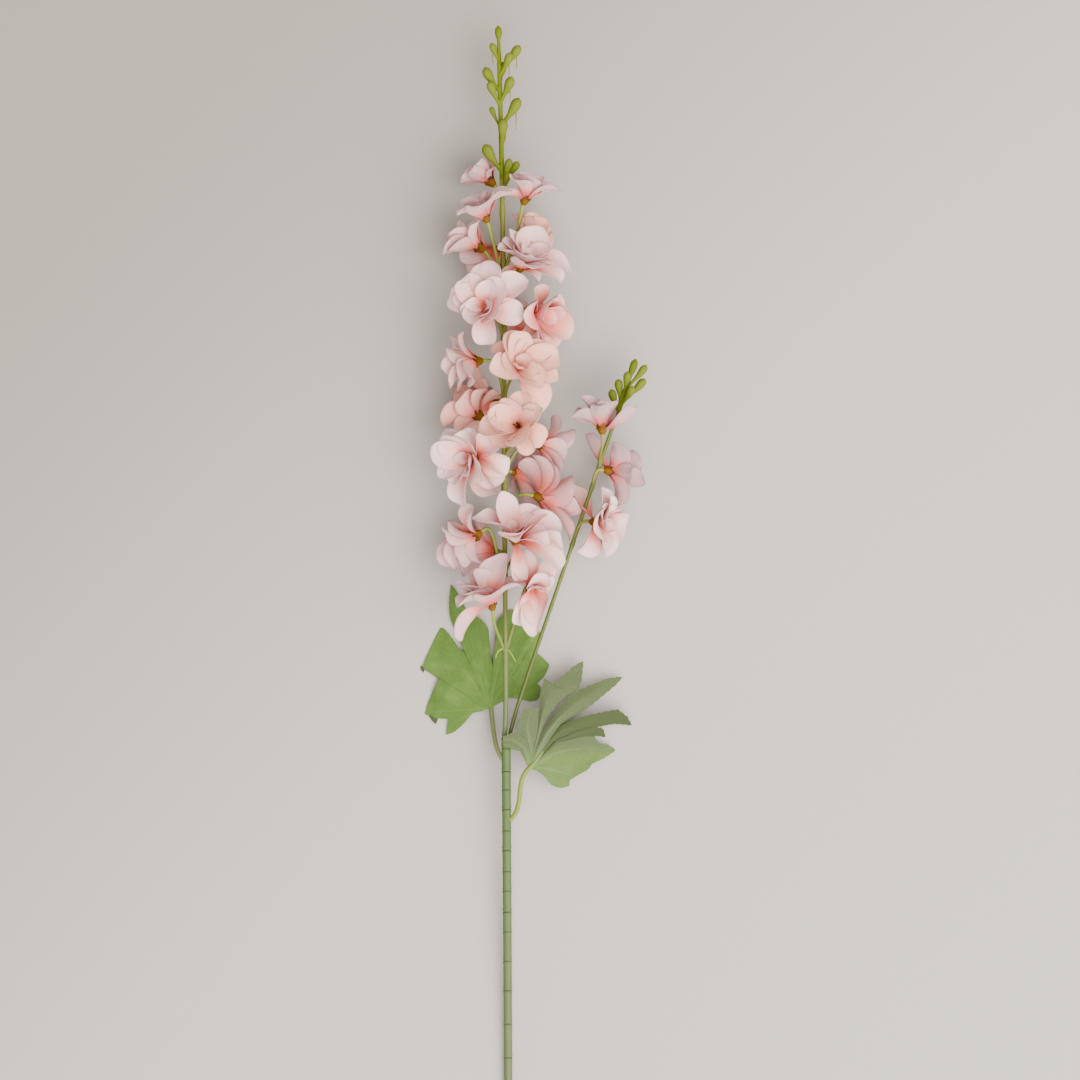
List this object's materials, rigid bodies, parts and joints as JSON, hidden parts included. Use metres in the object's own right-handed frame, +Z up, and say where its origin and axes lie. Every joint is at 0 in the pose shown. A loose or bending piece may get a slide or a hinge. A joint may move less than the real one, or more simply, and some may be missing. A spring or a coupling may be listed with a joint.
{
  "type": "delphinium_flower_spike",
  "caption": "Artificial delphinium spray in blush pink, laid down: a tall flower spike with a lime bud tip, a side branch, two palmate leaves and a ringed green stem",
  "frame": {"origin": "middle of the spray's box, on the surface that it lies on", "axes": "+Y from the cut end to the tip of the spike, +Z up from the surface, +X to the right of the spike when it is seen from above with its tip away from the viewer"},
  "size_m": [0.1585, 0.8, 0.0844],
  "materials": {
    "stem_green": "moulded, matt, sage green",
    "stalk_green": "moulded, matt, yellow green",
    "bud_lime": "moulded, soft satin, lime green",
    "petiole_green": "moulded, matt, pale green",
    "leaf_green": "printed cloth, matt, mid green with paler veins",
    "petal_blush": "printed cloth, matt, blush pink with coral bases"
  },
  "bodies": {
    "root": {"lower_stem": "stem_green", "flower_stem": "stalk_green", "side_branch": "stalk_green", "bud_spire": "bud_lime", "side_bud_tip": "bud_lime", "petiole_left": "petiole_green", "petiole_right": "petiole_green", "leaf_left": "leaf_green", "leaf_right": "leaf_green", "bloom_01": "petal_blush", "bloom_02": "petal_blush", "bloom_03": "petal_blush", "bloom_04": "petal_blush", "bloom_05": "petal_blush", "bloom_06": "petal_blush", "bloom_07": "petal_blush", "bloom_08": "petal_blush", "bloom_09": "petal_blush", "bloom_10": "petal_blush", "bloom_11": "petal_blush", "bloom_12": "petal_blush", "bloom_13": "petal_blush", "bloom_14": "petal_blush", "bloom_15": "petal_blush", "bloom_16": "petal_blush", "bloom_17": "petal_blush", "bloom_18": "petal_blush", "bloom_19": "petal_blush", "bloom_20": "petal_blush", "bloom_21": "petal_blush", "bloom_22": "petal_blush", "bloom_23": "petal_blush", "bloom_24": "petal_blush", "bloom_25": "petal_blush", "bloom_26": "petal_blush", "bloom_27": "petal_blush"}
  },
  "joints": []
}
